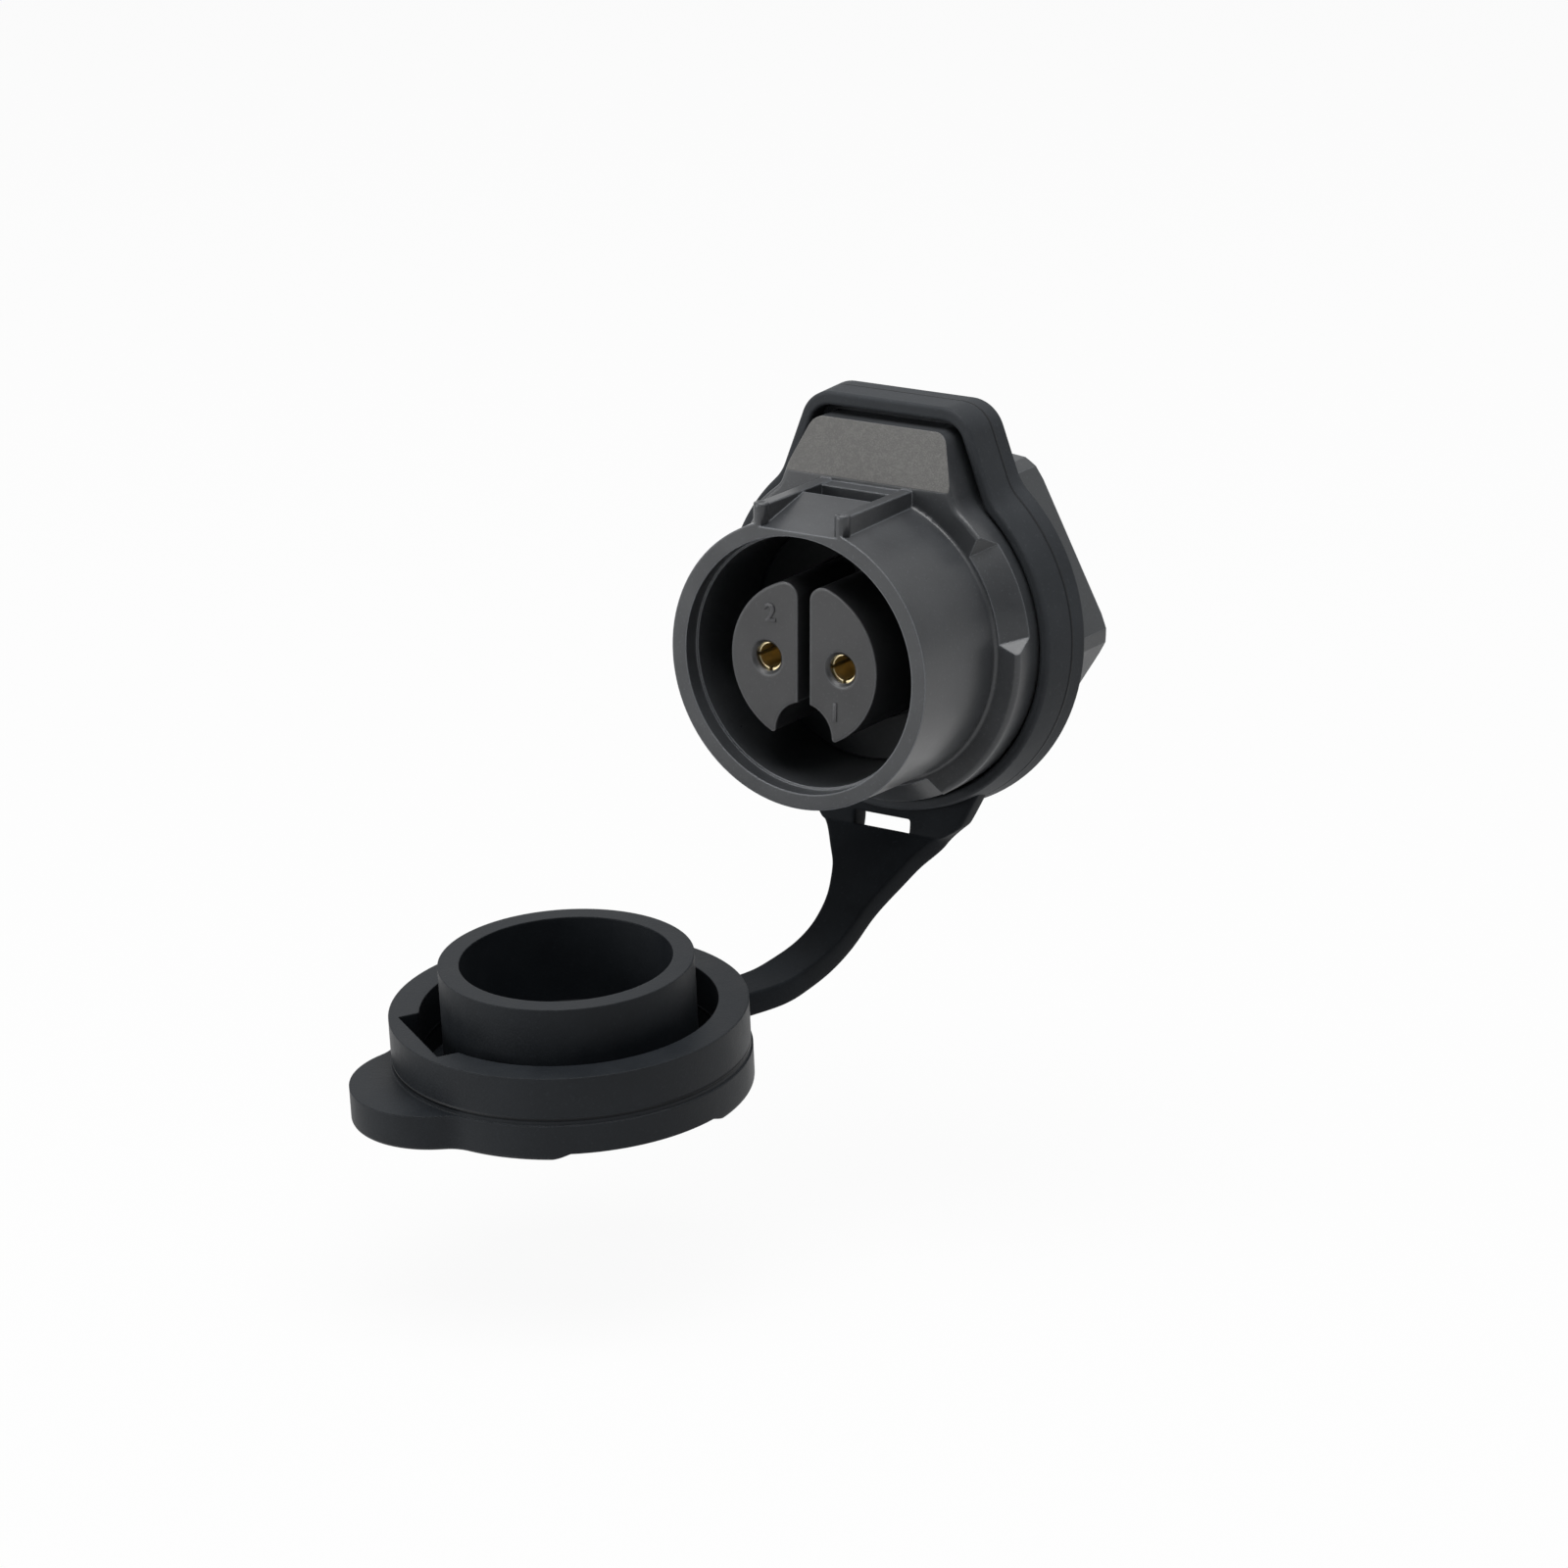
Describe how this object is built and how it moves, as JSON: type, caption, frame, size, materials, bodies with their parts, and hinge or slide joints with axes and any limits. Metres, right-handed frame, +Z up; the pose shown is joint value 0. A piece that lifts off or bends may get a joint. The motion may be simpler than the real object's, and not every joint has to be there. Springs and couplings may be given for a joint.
{
  "type": "panel-mount circular connector",
  "caption": "Round panel-mount power socket with recessed contacts, latch bracket, threaded barrel, lock nut and a tethered rubber dust cap.",
  "frame": {"origin": "on the connector's axis, in the plane where the sealing collar meets the panel's front face", "axes": "+Y along the connector's axis, from the mouth to the back of the threaded barrel; +Z up, toward the latch bracket and label lug; +X completes a right-handed frame"},
  "size_m": [0.0419, 0.0613, 0.0534],
  "materials": {
    "shell_plastic": "satin moulded",
    "block_plastic": "satin moulded",
    "nut_plastic": "satin moulded",
    "cap_rubber": "matt moulded",
    "seal_rubber": "matt",
    "contact_gold": "gold plated",
    "spring_steel": "bright"
  },
  "bodies": {
    "connector": {"shell": "shell_plastic", "contact_block": "block_plastic", "rear_insert": "block_plastic", "insert_lock_ring": "nut_plastic", "insert_seal": "seal_rubber", "interface_seal": "seal_rubber", "contact_1": "contact_gold", "contact_2": "contact_gold", "contact_sleeve_1": "spring_steel", "contact_sleeve_2": "spring_steel", "contact_seal_1": "seal_rubber", "contact_seal_2": "seal_rubber", "sealing_collar": "cap_rubber", "cap_strap": "cap_rubber"},
    "cap": {"dust_cap": "cap_rubber"},
    "nut": {"lock_nut": "nut_plastic"}
  },
  "joints": [
    {"name": "cap_swing", "type": "hinge", "parent": "connector", "child": "cap", "pos_m": [0, -0.01886, -0.01984], "axis": [-0.925, 0.2577, 0.2793], "range_deg": [-30, 99], "stiffness_Nm_per_rad": 0.004, "springref_deg": 9.04, "deforming": ["cap_strap"]},
    {"name": "nut_travel", "type": "slide", "parent": "connector", "child": "nut", "axis": [0, 1, 0], "range_m": [0, 0.012]}
  ]
}
